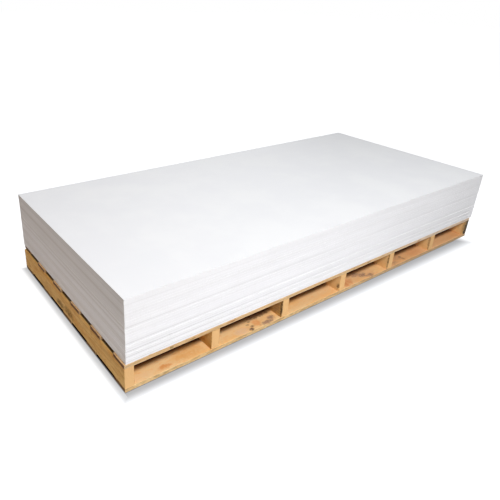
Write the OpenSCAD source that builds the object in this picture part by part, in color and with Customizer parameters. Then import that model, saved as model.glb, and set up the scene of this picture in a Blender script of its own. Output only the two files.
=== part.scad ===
// Pallet load of calcium silicate board: a pile of plain flat sheets, squared up on a timber pallet.
// Millimetres, +Z up, X along the sheets. The floor is z = 0, and the origin is under the middle of the load.

/* [Sheets] */
// Length of one sheet
sheet_length = 2700; // [1800:10:3000]
// Width of one sheet
sheet_width = 1220; // [900:10:1250]
// Thickness of one sheet
sheet_thickness = 13; // [6:0.5:20]
// Sheets in the pile
sheet_count = 24; // [2:1:36]
// Largest slip of a sheet in the pile, to the front
front_slip = 2; // [0:0.5:4]
// Largest slip of a sheet in the pile, to the far end
end_slip = 1; // [0:0.5:4]

/* [Pallet] */
// How much shorter the pallet is than a sheet
pallet_short = 10; // [10:1:60]
// How much narrower the pallet is than a sheet
pallet_narrow = 20; // [0:1:60]
// How far the pallet's near end stands out past the sheets
end_lip = 8; // [4:1:10]

/* [Bearers] */
// Width of a bearer, seen on its sawn end
bearer_width = 45; // [35:1:75]
// Height of a bearer
bearer_height = 102; // [70:1:140]
// Bearers across the pallet
bearer_count = 7; // [3:1:8]
// How much shorter the last bay is than the others
last_bay_short = 19; // [0:1:60]

/* [Deck boards] */
// Width of a deck board
deck_width = 98; // [70:1:120]
// Thickness of a deck board
deck_thickness = 18; // [12:1:25]
// Deck boards along the pallet
deck_count = 6; // [3:1:7]
// How far the rear deck board stops short of the pallet's near end
rear_deck_setback = 9; // [0:1:30]
// How far the rear deck board stands out past the bearers
rear_deck_out = 16; // [0:1:20]

/* [Bottom boards] */
// Width of a bottom board
bottom_width = 98; // [70:1:120]
// Thickness of a bottom board
bottom_thickness = 20; // [12:1:25]
// Bottom boards along the pallet
bottom_count = 5; // [2:1:6]

/* [Hidden] */
// How far each sheet slipped as it was laid, from the bottom up, as a share of the largest slip.
// A sheet that overhangs the one below shows as a dark line, and one that lies further in shows a pale ledge.
front_run = [0, 0.7, 0.1, 0.7, -0.1, 0.8, 1, 0.1, 0.6, 0.6, 0.6, 0.5,
             0.5, 0.2, 0.6, 0.6, 0.5, 0.5, 0.5, 0.4, 0.4, 0.4, 0.6, 0.6];
end_run = [0.3, -0.1, 0.5, 0.1, 0.1, 0.5, 0.5, 0.6, 0.6, 0.5, 0.7, 0.7,
           0.1, 0.1, 1, 1, 0.9, 0.9, 0.8, 0.7, 0.9, 0.9, 0.1, 0.1];
function to_front(i) = front_slip * front_run[(i - 1) % len(front_run)];
function to_end(i) = end_slip * end_run[(i - 1) % len(end_run)];

// The load's outer box, centred on the origin
span_x = end_lip + sheet_length + end_slip * max(end_run);
span_y = sheet_width + front_slip * (max(front_run) - min(front_run));

// The pallet's near end and front edge lie on the low sides of that box
pallet_length = sheet_length - pallet_short;
pallet_width = sheet_width - pallet_narrow;
pallet_x = -span_x / 2;
pallet_y = -span_y / 2;

// The low corner of a sheet that hasn't slipped
load_x = pallet_x + end_lip;
load_y = pallet_y + front_slip * max(front_run);

// Heights of the layers, from the floor up
bearer_z = bottom_thickness;
deck_z = bearer_z + bearer_height;
load_z = deck_z + deck_thickness;

// Pitches of the pallet's timbers
bearer_pitch = (pallet_length - bearer_width + last_bay_short) / (bearer_count - 1);
deck_pitch = (pallet_width - deck_width) / (deck_count - 1);
bottom_pitch = (pallet_width - bottom_width) / (bottom_count - 1);

// Colours
board_white = [0.93, 0.93, 0.92];
bearer_tan = [0.83, 0.63, 0.38];
deck_tan = [0.82, 0.66, 0.46];
bottom_tan = [0.87, 0.67, 0.43];

// Names of the pieces, counted from the bottom, the near end or the front
function sheet_name(i) = str("sheet_", i < 10 ? "0" : "", i);
function bearer_name(i) = str("bearer_", i);
function deck_name(i) = str("deck_board_", i);
function bottom_name(i) = str("bottom_board_", i);

// One board under the bearers, along the pallet
module bottom_board(i) {
  color(bottom_tan)
    translate([pallet_x, pallet_y + (i - 1) * bottom_pitch, 0])
      cube([pallet_length, bottom_width, bottom_thickness]);
}

// One bearer across the pallet; the last one closes the far end
module bearer(i) {
  x = i < bearer_count ? (i - 1) * bearer_pitch : pallet_length - bearer_width;
  color(bearer_tan)
    translate([pallet_x + x, pallet_y, bearer_z])
      cube([bearer_width, pallet_width, bearer_height]);
}

// One board on the bearers, along the pallet; the rear one was nailed short of the near end and a little out
module deck_board(i) {
  setback = i < deck_count ? 0 : rear_deck_setback;
  out = i < deck_count ? 0 : rear_deck_out;
  color(deck_tan)
    translate([pallet_x + setback, pallet_y + (i - 1) * deck_pitch + out, deck_z])
      cube([pallet_length - setback, deck_width, deck_thickness]);
}

// One sheet of the pile, lying on the deck or on the sheet below
module sheet(i) {
  color(board_white)
    translate([load_x + to_end(i), load_y - to_front(i), load_z + (i - 1) * sheet_thickness])
      cube([sheet_length, sheet_width, sheet_thickness]);
}

for (i = [1:bottom_count]) bottom_board(i);
for (i = [1:bearer_count]) bearer(i);
for (i = [1:deck_count]) deck_board(i);
for (i = [1:sheet_count]) sheet(i);
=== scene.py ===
import math

import bpy
import numpy as np
from mathutils import Matrix, Vector


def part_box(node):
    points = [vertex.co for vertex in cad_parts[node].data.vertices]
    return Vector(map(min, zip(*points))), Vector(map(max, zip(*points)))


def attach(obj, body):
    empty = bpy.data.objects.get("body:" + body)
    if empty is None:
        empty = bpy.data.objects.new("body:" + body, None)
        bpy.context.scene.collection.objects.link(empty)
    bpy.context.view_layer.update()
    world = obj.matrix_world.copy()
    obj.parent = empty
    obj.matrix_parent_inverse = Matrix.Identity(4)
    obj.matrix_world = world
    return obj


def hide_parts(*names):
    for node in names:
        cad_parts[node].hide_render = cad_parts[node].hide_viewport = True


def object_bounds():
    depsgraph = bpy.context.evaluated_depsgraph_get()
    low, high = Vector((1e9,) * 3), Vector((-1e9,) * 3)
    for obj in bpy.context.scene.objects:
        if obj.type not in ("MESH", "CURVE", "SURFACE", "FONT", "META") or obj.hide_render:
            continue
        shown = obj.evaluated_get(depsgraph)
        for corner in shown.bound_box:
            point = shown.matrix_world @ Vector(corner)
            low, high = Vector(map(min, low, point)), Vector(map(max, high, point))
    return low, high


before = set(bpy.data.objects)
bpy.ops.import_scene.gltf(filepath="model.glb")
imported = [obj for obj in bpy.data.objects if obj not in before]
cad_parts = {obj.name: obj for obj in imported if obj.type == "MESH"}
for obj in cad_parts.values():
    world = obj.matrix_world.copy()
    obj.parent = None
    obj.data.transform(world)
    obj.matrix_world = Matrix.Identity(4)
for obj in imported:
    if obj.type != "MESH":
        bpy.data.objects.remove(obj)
cad_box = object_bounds()

# Sheets
# Dense calcium silicate board, pressed flat, cured in steam and sawn to size, laid loose one on another.
# The faces are smooth and chalky; the sawn edges have a rubbed arris, chipped where a sheet was knocked.
millimetre = 0.001


def linear(red, green, blue):
    """A colour given in 0 to 255 as seen on a screen, as the linear RGBA that a shader takes."""
    channels = [value / 255 for value in (red, green, blue)]
    return tuple(c / 12.92 if c <= 0.04045 else ((c + 0.055) / 1.055) ** 2.4 for c in channels) + (1.0,)


def new_object(name, points, faces, slots=None, materials=()):
    """A mesh object from points and faces, with each face's material slot."""
    mesh = bpy.data.meshes.new(name)
    mesh.from_pydata([tuple(p) for p in points], [], [tuple(f) for f in faces])
    for material in materials:
        mesh.materials.append(material)
    if slots is not None:
        mesh.polygons.foreach_set("material_index", slots)
    mesh.update()
    piece = bpy.data.objects.new(name, mesh)
    bpy.context.scene.collection.objects.link(piece)
    return piece


def drift(count, every, rng):
    """A smooth run of count values from -1 to 1 with a new random value about every so many steps."""
    knots = rng.uniform(-1, 1, max(4, int(count / every) + 3))
    place = np.linspace(0, len(knots) - 1.001, count)
    low = place.astype(int)
    share = place - low
    share = share * share * (3 - 2 * share)
    return knots[low] * (1 - share) + knots[low + 1] * share


def rim(low, high, step, inset, corner):
    """Points round a sheet's outline, set in by inset at each point; the corners keep a small round."""
    least_round = 0.15 * millimetre
    turns = ((0, 0), (1, 0), (1, 1), (0, 1))
    sides = ((1, 0), (0, 1), (-1, 0), (0, -1))
    size = (high[0] - low[0], high[1] - low[1])
    points = []
    for k, (ix, iy) in enumerate(turns):
        start = np.array(((low[0], high[0])[ix], (low[1], high[1])[iy]))
        into = np.array((1 - 2 * ix, 1 - 2 * iy))
        for angle in np.radians((180 + 90 * k, 210 + 90 * k, 240 + 90 * k, 270 + 90 * k)):
            depth = inset[len(points)]
            round_off = max(corner - depth, least_round)
            arc = round_off * np.array((math.cos(angle), math.sin(angle)))
            points.append(start + into * (depth + round_off) + arc)
        ahead = np.array(sides[k])
        across = np.array((-ahead[1], ahead[0]))
        length = size[k % 2]
        cuts = int(length / step)
        for i in range(1, cuts):
            points.append(start + ahead * length * i / cuts + across * inset[len(points)])
    return np.array(points)


def board_sheet(name, low, high, rng, materials):
    """One sheet with its rubbed and chipped arrises, inside the box from low to high."""
    step = 8 * millimetre
    corner = 0.8 * millimetre
    flat = 7 * millimetre
    saw_wander = 0.1 * millimetre
    steps_per_wander = 40
    rubbed, rubbed_change = 0.26, 0.1
    steps_per_rub = 6
    fewest_chips, most_chips = 4, 8
    shortest_chip, longest_chip = 0.5, 1.5
    shallowest_chip, deepest_chip = 0.4, 1.6
    deepest_arris = 3 * millimetre
    long_cuts = int((high[0] - low[0]) / step)
    short_cuts = int((high[1] - low[1]) / step)
    # A corner has four points, so the run from one corner to the next has three points more than cuts
    count = 2 * (long_cuts + short_cuts) + 12
    corners = np.cumsum((0, long_cuts + 3, short_cuts + 3, long_cuts + 3))
    wave = saw_wander * (1 + drift(count, steps_per_wander, rng))
    arrises = []
    for side in range(2):
        arris = (rubbed + rubbed_change * drift(count, steps_per_rub, rng)) * millimetre
        for chip in range(rng.integers(fewest_chips, most_chips + 1)):
            middle = rng.integers(0, count)
            reach = rng.uniform(shortest_chip, longest_chip)
            depth = rng.uniform(shallowest_chip, deepest_chip) * millimetre
            away = np.abs((np.arange(count) - middle + count // 2) % count - count // 2)
            arris = arris + depth * np.exp(-(away / reach) ** 2)
        arrises.append(np.minimum(arris, deepest_arris))
    for run in (wave, *arrises):
        for first in corners:
            run[first:first + 4] = run[first:first + 4].mean()
    thick = high[2] - low[2]
    levels = (
        (np.full(count, flat), np.zeros(count)),
        (wave + arrises[0], np.zeros(count)),
        (wave, arrises[0]),
        (wave, thick - arrises[1]),
        (wave + arrises[1], np.full(count, thick)),
        (np.full(count, flat), np.full(count, thick)),
    )
    points = []
    for inset, height in levels:
        points.append(np.column_stack((rim(low, high, step, inset, corner), low[2] + height)))
    face_slot, edge_slot = 0, 1
    strips = len(levels) - 1
    faces = []
    slots = []
    for strip in range(strips):
        lower = strip * count
        upper = lower + count
        for i in range(count):
            j = (i + 1) % count
            faces.append((lower + i, lower + j, upper + j, upper + i))
            slots.append(edge_slot if 0 < strip < strips - 1 else face_slot)
    faces.append(tuple(range(count - 1, -1, -1)))
    faces.append(tuple(range(strips * count, (strips + 1) * count)))
    slots += [face_slot, face_slot]
    return new_object(name, np.vstack(points), faces, slots, materials)


class Nodes:
    """Short calls for wiring a material or a node group."""

    def __init__(self, tree):
        self.tree = tree

    def add(self, kind, **values):
        node = self.tree.nodes.new(kind)
        for key, value in values.items():
            setattr(node, key, value)
        return node

    def link(self, source, target):
        self.tree.links.new(source, target)

    def put(self, socket, value):
        """Wires value into socket if it is another socket, or sets it as a constant."""
        if isinstance(value, bpy.types.NodeSocket):
            self.link(value, socket)
        else:
            socket.default_value = value

    def maths(self, operation, *values, clamp=False):
        node = self.add("ShaderNodeMath", operation=operation, use_clamp=clamp)
        for socket, value in zip(node.inputs, values):
            self.put(socket, value)
        return node.outputs[0]

    def times(self, first, second):
        return self.maths("MULTIPLY", first, second)

    def plus(self, first, second):
        return self.maths("ADD", first, second)

    def minus(self, first, second):
        return self.maths("SUBTRACT", first, second)

    def most(self, first, second):
        return self.maths("MAXIMUM", first, second)

    def vector(self, operation, *values):
        node = self.add("ShaderNodeVectorMath", operation=operation)
        for socket, value in zip(node.inputs, values):
            self.put(socket, value)
        return node.outputs[1 if operation == "LENGTH" else 0]

    def mix(self, factor, first, second):
        node = self.add("ShaderNodeMix", data_type="RGBA")
        self.put(node.inputs[0], factor)
        self.put(node.inputs[6], first)
        self.put(node.inputs[7], second)
        return node.outputs[2]

    def ramp(self, value, low, high, start=0.0, end=1.0, smooth=True):
        """From start to end as value goes from low to high."""
        node = self.add("ShaderNodeMapRange", interpolation_type="SMOOTHSTEP" if smooth else "LINEAR")
        for socket, item in zip(node.inputs, (value, low, high, start, end)):
            self.put(socket, item)
        return node.outputs[0]

    def noise(self, where, scale, detail, roughness):
        node = self.add("ShaderNodeTexNoise")
        self.put(node.inputs["Vector"], where)
        node.inputs["Scale"].default_value = scale
        node.inputs["Detail"].default_value = detail
        node.inputs["Roughness"].default_value = roughness
        return node.outputs[0]

    def stretched_noise(self, where, scales, detail, roughness):
        """Noise with its own scale along each axis."""
        return self.noise(self.vector("MULTIPLY", where, scales), 1.0, detail, roughness)

    def join(self, x, y, z):
        node = self.add("ShaderNodeCombineXYZ")
        for socket, value in zip(node.inputs, (x, y, z)):
            self.put(socket, value)
        return node.outputs[0]

    def split(self, vector):
        node = self.add("ShaderNodeSeparateXYZ")
        self.link(vector, node.inputs[0])
        return node.outputs

    def place(self):
        """The place on the piece, in metres."""
        return self.add("ShaderNodeTexCoord").outputs["Object"]

    def facing(self):
        """The three parts of the direction that the surface faces."""
        return self.split(self.add("ShaderNodeNewGeometry").outputs["True Normal"])

    def owned(self, name):
        """A value that each piece carries under that name."""
        node = self.add("ShaderNodeAttribute", attribute_type="OBJECT", attribute_name=name)
        return node.outputs["Fac"]


def new_material(name):
    """An empty node material with its shader, and the nodes to wire it with."""
    material = bpy.data.materials.new(name)
    material.use_nodes = True
    nodes = Nodes(material.node_tree)
    shader = material.node_tree.nodes["Principled BSDF"]
    return material, nodes, shader


def new_group(name, inputs, outputs):
    """A shader node group with named sockets, and its two ends."""
    group = bpy.data.node_groups.new(name, "ShaderNodeTree")
    for label, kind in inputs:
        group.interface.new_socket(name=label, in_out="INPUT", socket_type=kind)
    for label, kind in outputs:
        group.interface.new_socket(name=label, in_out="OUTPUT", socket_type=kind)
    nodes = Nodes(group)
    return group, nodes, nodes.add("NodeGroupInput"), nodes.add("NodeGroupOutput")


def bump(nodes, shader, height, distance):
    """A bump of that distance in metres on the shader's normal."""
    node = nodes.add("ShaderNodeBump")
    node.inputs["Strength"].default_value = 1.0
    node.inputs["Distance"].default_value = distance
    nodes.link(height, node.inputs["Height"])
    nodes.link(node.outputs[0], shader.inputs["Normal"])


chalk = linear(235, 235, 236)
pale_chalk = linear(239, 239, 239)
fleck_grey = linear(228, 227, 225)
dust_and_shade_grey = linear(222, 221, 219)
board_face, wire, shader = new_material("board_face")
place = wire.place()
spot = wire.split(place)
cloud = wire.noise(place, 3.2, 4.0, 0.55)
fleck = wire.noise(place, 260.0, 2.0, 0.6)
tint = wire.mix(wire.ramp(cloud, 0.35, 0.65), chalk, pale_chalk)
tint = wire.mix(wire.ramp(fleck, 0.62, 0.75, 0.0, 0.35), tint, fleck_grey)
# Dust on the ledges of the lower sheets, partly real dust and partly painted shade that dims the lit
# ledges, more of it towards the far end
more_at_far_end = wire.ramp(spot[0], -0.9, 0.5, 1.0, 10.0)
tint = wire.mix(wire.times(wire.owned("dust_and_shade"), more_at_far_end), tint, dust_and_shade_grey)
wire.link(tint, shader.inputs["Base Color"])
wire.link(wire.ramp(cloud, 0.3, 0.7, 0.62, 0.74), shader.inputs["Roughness"])
shader.inputs["Specular IOR Level"].default_value = 0.25
bump(wire, shader, wire.noise(place, 900.0, 3.0, 0.6), 0.05 * millimetre)

edge_white = linear(247, 247, 249)
edge_pale = linear(251, 251, 253)
saw_grey = linear(228, 227, 224)
end_grey = linear(210, 207, 202)
overhang_shadow_grey = linear(168, 166, 163)
board_edge, wire, shader = new_material("board_edge")
place = wire.place()
spot = wire.split(place)
facing = wire.facing()
stroke = wire.stretched_noise(place, (420.0, 420.0, 30.0), 3.0, 0.6)
cloud = wire.stretched_noise(place, (2.6, 2.6, 40.0), 4.0, 0.6)
tint = wire.mix(wire.ramp(cloud, 0.3, 0.7), edge_white, edge_pale)
tint = wire.mix(wire.ramp(stroke, 0.5, 0.75, 0.0, 0.28), tint, saw_grey)
# The sawn ends take a darker grey by each sheet's tone, partly random tone and partly painted shade that
# darkens them towards the top
sawn_end = wire.ramp(wire.maths("ABSOLUTE", facing[0]), 0.3, 0.8, 0.15, 1.0)
tint = wire.mix(wire.times(wire.owned("tone_and_shade"), sawn_end), tint, end_grey)
# Painted shadow: a grey band just under a sheet that stands out above this one, less of it towards the far
# end
depth = wire.minus(wire.owned("top"), spot[2])
just_under = wire.ramp(depth, 2.0 * millimetre, 5.5 * millimetre, 1.0, 0.0)
front_overhang = wire.times(wire.owned("front_lip"), facing[1])
end_overhang = wire.times(wire.owned("end_lip"), facing[0])
overhang = wire.plus(front_overhang, end_overhang)
less_at_far_end = wire.ramp(spot[0], -1.1, 0.1, -0.28, -0.04)
overhang = wire.maths("MULTIPLY", overhang, less_at_far_end, clamp=True)
tint = wire.mix(wire.times(just_under, overhang), tint, overhang_shadow_grey)
wire.link(tint, shader.inputs["Base Color"])
wire.link(wire.ramp(stroke, 0.3, 0.7, 0.78, 0.9), shader.inputs["Roughness"])
shader.inputs["Specular IOR Level"].default_value = 0.2
bump(wire, shader, stroke, 0.15 * millimetre)

# Each sheet's end tone is partly random; its rise with height is painted shade, darker towards the top
tone_spread = 0.4
shade_rise = 0.45
tone_drop = 0.2
# Dust and painted shade on the ledges of the lower sheets
ledge_dust_and_shade = 0.05
chance = np.random.default_rng(24)
sheet_nodes = sorted(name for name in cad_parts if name.startswith("sheet_"))
topmost = len(sheet_nodes) - 1
for layer, node in enumerate(sheet_nodes):
    low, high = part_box(node)
    sheet = board_sheet(node.replace("sheet", "board_sheet"), low, high, chance, (board_face, board_edge))
    tone_and_shade = chance.uniform(0.0, tone_spread) + shade_rise * (layer / topmost) - tone_drop
    sheet["tone_and_shade"] = float(max(0.0, tone_and_shade))
    sheet["dust_and_shade"] = 0.0 if layer == topmost else ledge_dust_and_shade
    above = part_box(sheet_nodes[min(layer + 1, topmost)])[0]
    sheet["front_lip"] = float((low[1] - above[1]) / millimetre)
    sheet["end_lip"] = float((low[0] - above[0]) / millimetre)
    sheet["top"] = float(high[2])
    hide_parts(node)
    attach(sheet, "root")

# Deck boards
# Thin pine boards, sawn and left rough, nailed along the tops of the bearers to carry the sheets.
# Their edges show along the front and their ends at the near end of the pallet.


def sawn_timber(name, low, high, along, rng, materials, wane=()):
    """A rough-sawn length of timber inside the box from low to high, along axis 0 or 1.

    wane lists places where the round of the log shows on a corner: (corner, middle, reach, depth), with
    the corners counted from low across and low up, and middle and reach as shares of the length."""
    ease = 1.6 * millimetre
    end_set_in = 0.8 * ease
    station_step = 0.018
    face_step = 0.014
    round_size, round_change = 1.3, 0.6
    stations_per_round = 5
    dent_depth = 0.45 * millimetre
    stations_per_dent = 7
    end_roughness = 0.9
    across = 1 - along
    length = high[along] - low[along]
    wide = high[across] - low[across]
    tall = high[2] - low[2]
    inner = np.linspace(0, length, int(length / station_step))[1:-1]
    stations = np.concatenate(((0.0, ease), inner, (length - ease, length)))
    count = len(stations)
    radius = []
    for corner in range(4):
        size = (round_size + round_change * drift(count, stations_per_round, rng)) * millimetre
        for which, middle, reach, depth in wane:
            if which == corner:
                size = size + depth * np.exp(-((stations / length - middle) / reach) ** 4)
        radius.append(size)
    corners = ((0, 0, 180), (1, 0, 270), (1, 1, 0), (0, 1, 90))
    across_cuts = max(3, int(wide / face_step))
    up_cuts = max(3, int(tall / face_step))
    rings = []
    ends = np.zeros(count)
    ends[0] = ends[-1] = end_set_in
    for corner, (ix, iz, start) in enumerate(corners):
        size = radius[corner]
        for angle in np.radians((start, start + 30, start + 60, start + 90)):
            x = (size, wide - size)[ix] + size * math.cos(angle)
            z = (size, tall - size)[iz] + size * math.sin(angle)
            rings.append((x, z))
        after = radius[(corner + 1) % 4]
        cuts = (across_cuts, up_cuts)[corner % 2]
        for i in range(1, cuts):
            share = i / cuts
            mid_face = min(1.0, 4 * share * (1 - share))
            dent = dent_depth * (1 + drift(count, stations_per_dent, rng)) * mid_face
            if corner == 0:
                rings.append((size + (wide - size - after) * share, dent))
            elif corner == 1:
                rings.append((wide - dent, size + (tall - size - after) * share))
            elif corner == 2:
                rings.append((wide - size - (wide - size - after) * share, tall - dent))
            else:
                rings.append((dent, tall - size - (tall - size - after) * share))
    loop = len(rings)
    points = np.zeros((loop, count, 3))
    for i, (x, z) in enumerate(rings):
        points[i, :, across] = low[across] + ends + (x / wide) * (wide - 2 * ends)
        points[i, :, 2] = low[2] + ends + (z / tall) * (tall - 2 * ends)
        rough = np.zeros(count)
        rough[0] = rng.uniform(0, end_roughness) * millimetre
        rough[-1] = -rng.uniform(0, end_roughness) * millimetre
        points[i, :, along] = low[along] + stations + rough
    faces = []
    flip = along == 0
    for i in range(loop):
        j = (i + 1) % loop
        for k in range(count - 1):
            quad = (i * count + k, j * count + k, j * count + k + 1, i * count + k + 1)
            faces.append(quad[::-1] if flip else quad)
    near = tuple(i * count for i in range(loop))
    far = tuple(i * count + count - 1 for i in range(loop))
    faces.append(near if flip else near[::-1])
    faces.append(far[::-1] if flip else far)
    return new_object(name, points.reshape(-1, 3), faces, None, materials)


scalar = "NodeSocketFloat"
triple = "NodeSocketVector"
seed_shift = 37.0
knot_rarity = 0.87
knot_core = 0.45
swirl_push = 0.014
pith_swing = 91.0
pith_sideways = 0.05
pith_depth = 0.03
pith_depth_change = 0.05
ring_bend = 0.05
rings_per_metre = 190.0
late_wood_power = 2.2
pine_figure, wire, given, result = new_group(
    "pine_figure",
    (("Along", scalar), ("Across", scalar), ("Up", scalar), ("Seed", scalar)),
    (("Ring", scalar), ("Fibre", scalar), ("Knot", scalar), ("Cloud", scalar), ("Mottle", scalar)),
)
across = given.outputs["Across"]
up = given.outputs["Up"]
seed = given.outputs["Seed"]
shifted = wire.plus(given.outputs["Along"], wire.times(seed, seed_shift))


def grain_place(wire, along, across, up, lengthwise, crosswise):
    """A place in the timber, with one scale along the grain and another across it."""
    along = wire.times(along, lengthwise)
    return wire.join(along, wire.times(across, crosswise), wire.times(up, crosswise))


bend = wire.noise(grain_place(wire, shifted, across, up, 1.1, 7.0), 1.0, 2.0, 0.5)
cells = wire.add("ShaderNodeTexVoronoi", feature="F1")
wire.link(grain_place(wire, shifted, across, up, 3.1, 9.0), cells.inputs["Vector"])
cells.inputs["Scale"].default_value = 1.0
from_knot = cells.outputs["Distance"]
draw = wire.add("ShaderNodeSeparateColor")
wire.link(cells.outputs["Color"], draw.inputs[0])
chosen = wire.maths("GREATER_THAN", draw.outputs[0], knot_rarity)
reach = wire.times(chosen, wire.ramp(draw.outputs[1], 0.0, 1.0, 0.1, 0.24, smooth=False))
knot = wire.ramp(from_knot, wire.times(reach, knot_core), wire.plus(reach, 0.001), 1.0, 0.0)
knot = wire.times(knot, chosen)
swirl = wire.times(wire.ramp(from_knot, 0.0, 0.55, 1.0, 0.0), chosen)
swirl = wire.times(swirl, swirl_push)
sideways = wire.times(wire.maths("SINE", wire.times(seed, pith_swing)), pith_sideways)
below = wire.plus(pith_depth, wire.times(seed, pith_depth_change))
radius = wire.vector("LENGTH", wire.join(wire.minus(across, sideways), wire.plus(up, below), 0.0))
radius = wire.plus(radius, wire.times(bend, ring_bend))
radius = wire.plus(radius, swirl)
turn = wire.maths("FRACT", wire.times(radius, rings_per_metre))
ring = wire.maths("POWER", turn, late_wood_power)
ring = wire.times(ring, wire.ramp(turn, 0.86, 1.0, 1.0, 0.0))
fibre = wire.noise(grain_place(wire, shifted, across, up, 14.0, 900.0), 1.0, 3.0, 0.65)
cloud = wire.noise(grain_place(wire, shifted, across, up, 4.0, 14.0), 1.0, 4.0, 0.6)
mottle = wire.noise(grain_place(wire, shifted, across, up, 38.0, 110.0), 1.0, 3.0, 0.6)
wire.link(ring, result.inputs["Ring"])
wire.link(fibre, result.inputs["Fibre"])
wire.link(knot, result.inputs["Knot"])
wire.link(cloud, result.inputs["Cloud"])
wire.link(mottle, result.inputs["Mottle"])


def pine(name, along, pale, late, warm, cut_end, knot_colour):
    """Rough-sawn pine with its grain along axis 0 or 1, in the colours of its wood, cut ends and knots."""
    material, wire, shader = new_material(name)
    place = wire.place()
    spot = wire.split(place)
    figure = wire.add("ShaderNodeGroup", node_tree=pine_figure)
    wire.link(spot[along], figure.inputs["Along"])
    wire.link(spot[1 - along], figure.inputs["Across"])
    wire.link(spot[2], figure.inputs["Up"])
    wire.link(wire.owned("seed"), figure.inputs["Seed"])
    ring = figure.outputs["Ring"]
    fibre = figure.outputs["Fibre"]
    tint = wire.mix(wire.ramp(figure.outputs["Cloud"], 0.42, 0.66, 0.0, 0.85), pale, warm)
    tint = wire.mix(wire.times(ring, 0.5), tint, late)
    tint = wire.mix(wire.ramp(fibre, 0.48, 0.72, 0.0, 0.4), tint, late)
    tint = wire.mix(wire.ramp(figure.outputs["Mottle"], 0.5, 0.72, 0.0, 0.55), tint, late)
    end = wire.ramp(wire.maths("ABSOLUTE", wire.facing()[along]), 0.6, 0.9)
    sawn = wire.mix(wire.times(ring, 0.3), cut_end, late)
    tint = wire.mix(wire.times(end, 0.93), tint, sawn)
    tint = wire.mix(wire.times(figure.outputs["Knot"], 0.85), tint, knot_colour)
    wire.link(wire.ramp(fibre, 0.3, 0.7, 0.72, 0.88), shader.inputs["Roughness"])
    shader.inputs["Specular IOR Level"].default_value = 0.2
    bump(wire, shader, wire.plus(wire.times(ring, 0.35), fibre), 0.5 * millimetre)
    return wire, shader, place, tint, material


stain_patch, wire, given, result = new_group(
    "stain_patch",
    (("Where", triple), ("Middle", triple), ("Size", triple), ("Ragged", scalar)),
    (("Mask", scalar),),
)
where = given.outputs["Where"]
offset = wire.vector("SUBTRACT", where, given.outputs["Middle"])
offset = wire.vector("DIVIDE", offset, given.outputs["Size"])
torn = wire.minus(wire.noise(where, 42.0, 6.0, 0.78), 0.5)
torn = wire.times(torn, given.outputs["Ragged"])
patchy = wire.ramp(wire.noise(where, 75.0, 3.0, 0.6), 0.34, 0.6, 0.45, 1.0)
spread = wire.ramp(wire.plus(wire.vector("LENGTH", offset), torn), 0.4, 0.95, 1.0, 0.0)
wire.link(wire.times(spread, patchy), result.inputs["Mask"])


def stain(wire, place, tint, middle, size, colour, strength, ragged=1.5):
    """The tint with one stain of that colour laid on, middle and size in millimetres."""
    patch = wire.add("ShaderNodeGroup", node_tree=stain_patch)
    wire.link(place, patch.inputs["Where"])
    patch.inputs["Middle"].default_value = [value * millimetre for value in middle]
    patch.inputs["Size"].default_value = [value * millimetre for value in size]
    patch.inputs["Ragged"].default_value = ragged
    return wire.mix(wire.times(patch.outputs["Mask"], strength), tint, colour)


soft = 1.0
weathered = linear(222, 203, 182)
underside_shade_brown = linear(176, 96, 38)
wire, shader, place, tint, deck_pine = pine(
    "deck_pine", 0,
    pale=linear(226, 193, 147),
    late=linear(172, 127, 79),
    warm=linear(218, 180, 130),
    cut_end=linear(92, 54, 20),
    knot_colour=linear(96, 66, 40),
)
spot = wire.split(place)
facing = wire.facing()
tint = wire.mix(wire.ramp(spot[0], 0.2, 0.9, 0.0, 0.75), tint, weathered)
# Painted shade: the undersides of the boards are a dark warm brown
tint = wire.mix(wire.ramp(facing[2], -0.9, -0.7, 0.9, 0.0), tint, underside_shade_brown)
tint = stain(wire, place, tint, (-1128, -611, 131), (13, 12, 8), linear(92, 80, 56), 0.95, soft)
tint = stain(wire, place, tint, (-1015, -611, 130), (22, 12, 7), linear(150, 112, 66), 0.7)
tint = stain(wire, place, tint, (214, -611, 131), (26, 12, 9), linear(150, 120, 88), 0.85)
tint = stain(wire, place, tint, (720, -611, 130), (24, 12, 8), linear(190, 130, 76), 0.7)
tint = stain(wire, place, tint, (-795, -611, 132), (40, 10, 8), linear(170, 108, 60), 0.7)
wire.link(tint, shader.inputs["Base Color"])
deck_nodes = sorted(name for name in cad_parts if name.startswith("deck_board_"))
for node in deck_nodes:
    low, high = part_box(node)
    board = sawn_timber(node.replace("deck", "sawn_deck"), low, high, 0, chance, (deck_pine,))
    board["seed"] = float(chance.uniform(0.0, 1.0))
    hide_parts(node)
    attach(board, "root")

# Bearers
# Heavier pine timbers set on edge across the pallet, cut to length so that their sawn ends show on the
# long sides. The boards are nailed to them above and below, and the gaps between them take the forks.
bearer_top_shade = linear(66, 50, 32)
lit_side_pine = linear(255, 214, 150)
wire, shader, place, tint, bearer_pine = pine(
    "bearer_pine", 1,
    pale=linear(239, 197, 124),
    late=linear(188, 130, 62),
    warm=linear(226, 170, 90),
    cut_end=linear(241, 195, 136),
    knot_colour=linear(104, 64, 28),
)
spot = wire.split(place)
facing = wire.facing()
# The near bearer stands out past the sheets by the lip; the tops under the load are painted dark as shade
lip = 8 * millimetre
load_end = cad_box[0][0] + lip
under_load = wire.ramp(spot[0], load_end - 3 * millimetre, load_end + 1 * millimetre, 0.0, 0.9)
tint = wire.mix(wire.times(wire.ramp(facing[2], 0.7, 0.9), under_load), tint, bearer_top_shade)
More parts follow.
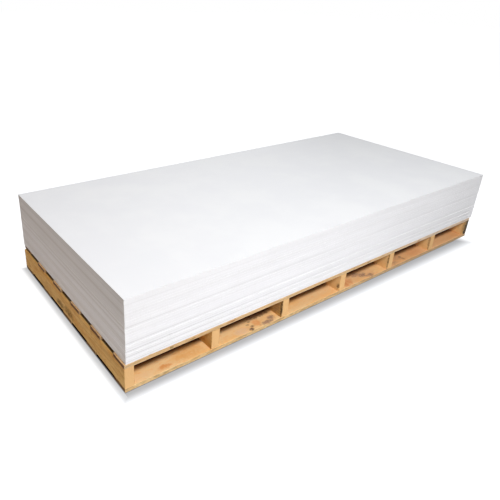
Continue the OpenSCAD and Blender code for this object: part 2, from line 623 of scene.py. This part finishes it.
# Painted light: the sides of the bearers from the middle to the far end are paler
sides = wire.ramp(wire.maths("ABSOLUTE", facing[0]), 0.7, 0.9)
lit_sides = wire.times(sides, wire.ramp(spot[0], -0.3, -0.05, 0.0, 0.9))
tint = wire.mix(lit_sides, tint, lit_side_pine)
tint = stain(wire, place, tint, (-1355, 70, 45), (20, 60, 26), linear(108, 76, 24), 0.85)
tint = stain(wire, place, tint, (-1355, -40, 56), (20, 75, 34), linear(120, 84, 30), 0.8)
tint = stain(wire, place, tint, (-467, -552, 72), (16, 90, 80), linear(150, 114, 82), 0.6, 1.2)
tint = stain(wire, place, tint, (-467, -607, 72), (7, 12, 80), linear(70, 58, 40), 0.9, 0.8)
tint = stain(wire, place, tint, (-23, -602, 50), (9, 14, 20), linear(112, 78, 42), 0.85)
tint = stain(wire, place, tint, (421, -609, 72), (7, 9, 75), linear(104, 72, 34), 0.85, 0.5)
tint = stain(wire, place, tint, (865, -607, 72), (9, 12, 70), linear(160, 118, 76), 0.7)
tint = stain(wire, place, tint, (1330, -611, 70), (56, 30, 260), linear(58, 48, 36), 1.0, 0.2)
tint = stain(wire, place, tint, (1334, -611, 76), (52, 30, 260), linear(44, 38, 30), 1.0, 0.2)
wire.link(tint, shader.inputs["Base Color"])
near_upper_corner = 3
wane_middle = 0.5
wane_reach = 0.7
wane_depth = 7 * millimetre
near_wane = ((near_upper_corner, wane_middle, wane_reach, wane_depth),)
bearer_nodes = sorted(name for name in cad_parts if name.startswith("bearer_"))
for node in bearer_nodes:
    low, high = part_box(node)
    wane = near_wane if node == "bearer_1" else ()
    bearer = sawn_timber(node.replace("bearer", "sawn_bearer"), low, high, 1, chance, (bearer_pine,), wane)
    bearer["seed"] = float(chance.uniform(0.0, 1.0))
    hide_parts(node)
    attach(bearer, "root")

# Bottom boards
# Thin pine boards nailed along the undersides of the bearers, which the whole load stands on.
# The front one shows its upper face in the gaps, stained here and there by handling and water.
rosy = linear(231, 173, 122)
handled_pale = linear(226, 195, 143)
handled_dark = linear(172, 142, 98)
handled_grey = linear(178, 152, 122)
board_inner_shade = linear(84, 28, 2)
honey = linear(244, 182, 102)
mould = linear(104, 78, 68)
damp = linear(160, 126, 108)
streaky = 1.9
# The cut ends are painted near black as shade, like the dark gap under the near bearer
wire, shader, place, tint, bottom_pine = pine(
    "bottom_pine", 0,
    pale=linear(255, 222, 164),
    late=linear(255, 188, 116),
    warm=linear(255, 204, 130),
    cut_end=linear(64, 46, 30),
    knot_colour=linear(104, 64, 34),
)
spot = wire.split(place)
facing = wire.facing()
tint = wire.mix(wire.ramp(spot[0], -0.6, 0.9, 0.0, 0.65), tint, rosy)
front_edge = wire.ramp(facing[1], -0.9, -0.6, 0.8, 0.0)
grime = wire.stretched_noise(place, (26.0, 60.0, 90.0), 4.0, 0.65)
handled = wire.mix(wire.ramp(grime, 0.35, 0.68), handled_pale, handled_dark)
handled = wire.mix(wire.ramp(spot[0], -0.5, 0.6, 0.0, 0.65), handled, handled_grey)
tint = wire.mix(front_edge, tint, handled)
# Painted shade: the front board is darkened along its inner edge, under the deck
front_board_only = wire.ramp(spot[1], -0.50, -0.40, 1.0, 0.0)
shaded_inner_edge = wire.times(wire.ramp(spot[1], -0.547, -0.516, 0.0, 0.7), front_board_only)
tint = wire.mix(shaded_inner_edge, tint, board_inner_shade)
tint = stain(wire, place, tint, (-1260, -586, 20), (70, 34, 12), linear(255, 222, 172), 0.6, soft)
tint = stain(wire, place, tint, (-1010, -565, 20), (120, 70, 12), honey, 0.65, soft)
tint = stain(wire, place, tint, (-1148, -588, 20), (44, 20, 12), linear(236, 156, 80), 0.8)
tint = stain(wire, place, tint, (-705, -588, 20), (60, 34, 12), linear(246, 212, 174), 0.75, soft)
tint = stain(wire, place, tint, (-600, -572, 20), (34, 34, 12), linear(242, 160, 88), 0.6)
tint = stain(wire, place, tint, (-654, -600, 20), (20, 14, 12), mould, 0.9)
tint = stain(wire, place, tint, (-636, -583, 20), (15, 12, 12), mould, 0.85)
tint = stain(wire, place, tint, (-650, -563, 20), (16, 9, 12), mould, 0.8)
tint = stain(wire, place, tint, (-630, -548, 20), (15, 8, 12), mould, 0.75)
tint = stain(wire, place, tint, (-545, -597, 20), (56, 20, 12), damp, 0.85)
tint = stain(wire, place, tint, (-508, -578, 20), (34, 20, 12), damp, 0.8)
# This dark band on the inner half of the board is partly a stain and partly painted shade under the deck
tint = stain(wire, place, tint, (-560, -530, 20), (95, 22, 12), linear(110, 80, 60), 0.7, 1.8)
tint = stain(wire, place, tint, (80, -575, 20), (80, 52, 12), linear(222, 142, 88), 0.7, soft)
tint = stain(wire, place, tint, (372, -570, 20), (70, 60, 12), linear(255, 214, 148), 0.8, soft)
tint = stain(wire, place, tint, (196, -545, 20), (44, 26, 12), damp, 0.75, streaky)
tint = stain(wire, place, tint, (232, -572, 20), (46, 28, 12), damp, 0.85, streaky)
tint = stain(wire, place, tint, (276, -596, 20), (42, 22, 12), damp, 0.85, streaky)
tint = stain(wire, place, tint, (760, -575, 20), (95, 54, 12), linear(238, 172, 114), 0.75, soft)
tint = stain(wire, place, tint, (520, -590, 20), (56, 30, 12), damp, 0.5, streaky)
tint = stain(wire, place, tint, (590, -560, 20), (52, 28, 12), damp, 0.4, streaky)
tint = stain(wire, place, tint, (622, -578, 20), (20, 30, 12), mould, 0.5, streaky)
tint = stain(wire, place, tint, (1255, -570, 20), (70, 56, 12), linear(234, 172, 112), 0.7, soft)
wire.link(tint, shader.inputs["Base Color"])
bottom_nodes = sorted(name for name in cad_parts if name.startswith("bottom_board_"))
for node in bottom_nodes:
    low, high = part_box(node)
    board = sawn_timber(node.replace("bottom", "sawn_bottom"), low, high, 0, chance, (bottom_pine,))
    board["seed"] = float(chance.uniform(0.0, 1.0))
    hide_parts(node)
    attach(board, "root")

# Floor
# A plain white studio floor. Near the load it takes the shadow, partly from the lamps and partly painted:
# to the camera it is a darker grey there, and under the load a painted brown shade; further off the camera
# sees clear white.
# The light that it throws back onto the load has colours of its own, apart from what the camera sees.


def seen_by_camera(wire):
    """1 for what the camera sees, also in metal or through glass, and 0 for light thrown onto the load."""
    path = wire.add("ShaderNodeLightPath")
    seen = wire.most(path.outputs["Is Camera Ray"], path.outputs["Is Glossy Ray"])
    return wire.most(seen, path.outputs["Is Transmission Ray"])


floor_size = 60.0
clear_white = (1.0, 1.0, 1.0, 1.0)
# Painted shade: brown on the floor under the load, also in the light it throws back, and a darker grey to
# the camera near the load
floor_shade_under_load = linear(60, 48, 34)
shadow_grey = linear(133, 137, 142)
near_bounce = linear(241, 242, 242)
far_bounce = linear(202, 203, 202)
end_bounce = linear(218, 215, 210)
floor_white, wire, shader = new_material("floor_white")
shader.inputs["Roughness"].default_value = 0.9
shader.inputs["Specular IOR Level"].default_value = 0.0
seen = seen_by_camera(wire)
spot = wire.split(wire.place())
left_of = wire.minus(cad_box[0][0], spot[0])
right_of = wire.minus(spot[0], cad_box[1][0])
front_of = wire.minus(cad_box[0][1], spot[1])
back_of = wire.minus(spot[1], cad_box[1][1])
clear_of = wire.most(wire.most(left_of, right_of), wire.most(front_of, back_of))
outside = wire.ramp(clear_of, -0.006, -0.001)
shade = wire.mix(outside, floor_shade_under_load, shadow_grey)
bounce = wire.mix(wire.ramp(spot[0], -0.3, 1.3), near_bounce, far_bounce)
bounce = wire.mix(wire.ramp(left_of, 0.0, 0.1), bounce, end_bounce)
bounce = wire.mix(outside, floor_shade_under_load, bounce)
wire.link(wire.mix(seen, bounce, shade), shader.inputs["Base Color"])
# Clear white begins at its own distance on each side of the load, so the width of the shadow on each side
# is painted
shadow_reach = wire.ramp(spot[0], -1.25, 1.1, 0.080, 0.130, smooth=False)
left_fade = wire.ramp(left_of, 0.006, 0.050, 0.45, 1.0)
left_clear = wire.times(wire.ramp(left_of, -0.002, 0.004), left_fade)
front_fade = wire.ramp(front_of, 0.008, shadow_reach, 0.25, 1.0)
front_clear = wire.times(wire.ramp(front_of, 0.0, 0.006), front_fade)
right_clear = wire.times(outside, wire.ramp(right_of, -0.20, -0.02))
back_clear = wire.ramp(back_of, -0.06, 0.0)
clear = wire.most(left_clear, front_clear)
clear = wire.most(clear, right_clear)
clear = wire.most(clear, back_clear)
shader.inputs["Emission Color"].default_value = clear_white
wire.link(wire.times(seen, clear), shader.inputs["Emission Strength"])
half = floor_size / 2
floor_corners = ((-half, -half, 0), (half, -half, 0), (half, half, 0), (-half, half, 0))
floor = new_object("floor", floor_corners, ((0, 1, 2, 3),), None, (floor_white,))

# Light
# A large soft lamp far off in front and a smaller one nearer, two weak ones overhead, a weak warm one at
# the near end, a long low one behind the far corner, and an even pale room all round.


def soft_lamp(name, place, aim, wide, high, power, colour):
    """A soft lamp at place, facing aim, wide by high, with its power in watts."""
    lamp = bpy.data.lights.new(name, "AREA")
    lamp.shape = "RECTANGLE"
    lamp.size = wide
    lamp.size_y = high
    lamp.energy = power
    lamp.color = colour
    holder = bpy.data.objects.new(name, lamp)
    holder.location = place
    holder.rotation_euler = (Vector(aim) - Vector(place)).to_track_quat("-Z", "Y").to_euler()
    bpy.context.scene.collection.objects.link(holder)


soft_lamp("far_lamp", place=(-1.65, -4.85, 6.0), aim=(-0.6, -0.4, 0.3),
          wide=2.2, high=1.7, power=308.0, colour=(1.0, 0.984, 0.99))
soft_lamp("near_lamp", place=(-1.0, -2.9, 3.2), aim=(-0.6, -0.5, 0.2),
          wide=0.8, high=0.7, power=36.0, colour=(1.0, 0.982, 0.985))
soft_lamp("rear_lamp", place=(-1.75, 0.6, 4.6), aim=(-1.2, 0.4, 0.0),
          wide=1.4, high=1.4, power=29.0, colour=(0.97, 0.95, 0.95))
soft_lamp("overhead_lamp", place=(0.1, -0.8, 4.4), aim=(0.1, -0.3, 0.4),
          wide=1.6, high=1.6, power=51.0, colour=(0.86, 0.94, 1.0))
soft_lamp("end_lamp", place=(-5.2, 0.6, 1.3), aim=(-1.3, 0.3, 0.25),
          wide=2.0, high=1.6, power=13.0, colour=(1.0, 0.6, 0.36))
soft_lamp("back_lamp", place=(3.5, 5.0, 0.9), aim=(0.3, 0.6, 0.25),
          wide=3.0, high=0.5, power=75.0, colour=(1.0, 0.99, 0.98))
room_light = (0.04, 0.04, 0.04, 1.0)
world = bpy.data.worlds.new("pale_room")
world.use_nodes = True
bpy.context.scene.world = world
wire = Nodes(world.node_tree)
room = world.node_tree.nodes["Background"]
wire.link(wire.mix(seen_by_camera(wire), room_light, clear_white), room.inputs["Color"])
bpy.context.scene.view_settings.view_transform = "Standard"

# Camera
# Set where the picture was taken from, near the left front corner and above, with its slight tilt.
# The load lies off the middle of the picture, so the lens is shifted sideways and down.
camera_place = Vector((-2.0589, -2.0016, 1.5078))
camera_heading = math.radians(36.695)
camera_pitch = math.radians(-24.877)
camera_tilt = math.radians(2.107)
lens = bpy.data.cameras.new("camera")
lens.sensor_fit = "HORIZONTAL"
lens.sensor_width = 36.0
lens.lens = 35.63
lens.shift_x = 0.1071
lens.shift_y = -0.0612
lens.clip_end = 200.0
camera = bpy.data.objects.new("camera", lens)
aimed = Matrix.Rotation(-camera_heading, 4, "Z") @ Matrix.Rotation(math.pi / 2 + camera_pitch, 4, "X")
camera.matrix_world = Matrix.Translation(camera_place) @ aimed @ Matrix.Rotation(camera_tilt, 4, "Z")
bpy.context.scene.collection.objects.link(camera)
bpy.context.scene.camera = camera
